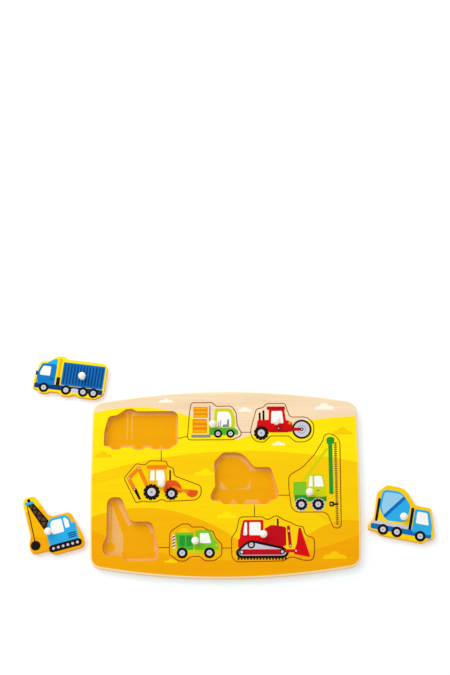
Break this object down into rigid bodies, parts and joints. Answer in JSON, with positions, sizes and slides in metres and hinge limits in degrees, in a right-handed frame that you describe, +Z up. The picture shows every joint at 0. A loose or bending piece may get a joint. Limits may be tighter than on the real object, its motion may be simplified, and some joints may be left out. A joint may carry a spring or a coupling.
{
  "type": "peg puzzle",
  "caption": "Wooden peg puzzle: printed plywood board with a bowed outline, sawn wells and lift-out construction-vehicle tiles with turned pegs.",
  "frame": {"origin": "centre of the board's flat underside", "axes": "+X along the board to the right, +Y across it to the back edge, +Z up through the pegs"},
  "size_m": [0.4551, 0.2549, 0.0211],
  "materials": {
    "backing_ply": "bare plywood",
    "printed_ply": "printed, satin lacquer",
    "peg_paint": "white satin paint",
    "truck_print": "printed blue container truck",
    "forklift_print": "printed yellow-green forklift",
    "roller_print": "printed red road roller",
    "backhoe_print": "printed orange backhoe",
    "mixer_print": "printed sky-blue concrete mixer",
    "rig_print": "printed green piling rig",
    "crane_print": "printed sky-blue crane",
    "tipper_print": "printed green tipper",
    "bulldozer_print": "printed red bulldozer"
  },
  "bodies": {
    "board": {"backing_board": "backing_ply", "top_board": "printed_ply"},
    "truck": {"truck_tile": "truck_print", "truck_peg": "peg_paint"},
    "forklift": {"forklift_tile": "forklift_print", "forklift_peg": "peg_paint"},
    "roller": {"roller_tile": "roller_print", "roller_peg": "peg_paint"},
    "backhoe": {"backhoe_tile": "backhoe_print", "backhoe_peg": "peg_paint"},
    "mixer": {"mixer_tile": "mixer_print", "mixer_peg": "peg_paint"},
    "rig": {"rig_tile": "rig_print", "rig_peg": "peg_paint"},
    "crane": {"crane_tile": "crane_print", "crane_peg": "peg_paint"},
    "tipper": {"tipper_tile": "tipper_print", "tipper_peg": "peg_paint"},
    "bulldozer": {"bulldozer_tile": "bulldozer_print", "bulldozer_peg": "peg_paint"}
  },
  "joints": [
    {"name": "truck_lift", "type": "slide", "parent": "board", "child": "truck", "axis": [0, 0, 1], "range_m": [0, 0.06]},
    {"name": "forklift_lift", "type": "slide", "parent": "board", "child": "forklift", "axis": [0, 0, 1], "range_m": [0, 0.06]},
    {"name": "roller_lift", "type": "slide", "parent": "board", "child": "roller", "axis": [0, 0, 1], "range_m": [0, 0.06]},
    {"name": "backhoe_lift", "type": "slide", "parent": "board", "child": "backhoe", "axis": [0, 0, 1], "range_m": [0, 0.06]},
    {"name": "mixer_lift", "type": "slide", "parent": "board", "child": "mixer", "axis": [0, 0, 1], "range_m": [0, 0.06]},
    {"name": "rig_lift", "type": "slide", "parent": "board", "child": "rig", "axis": [0, 0, 1], "range_m": [0, 0.06]},
    {"name": "crane_lift", "type": "slide", "parent": "board", "child": "crane", "axis": [0, 0, 1], "range_m": [0, 0.06]},
    {"name": "tipper_lift", "type": "slide", "parent": "board", "child": "tipper", "axis": [0, 0, 1], "range_m": [0, 0.06]},
    {"name": "bulldozer_lift", "type": "slide", "parent": "board", "child": "bulldozer", "axis": [0, 0, 1], "range_m": [0, 0.06]}
  ]
}
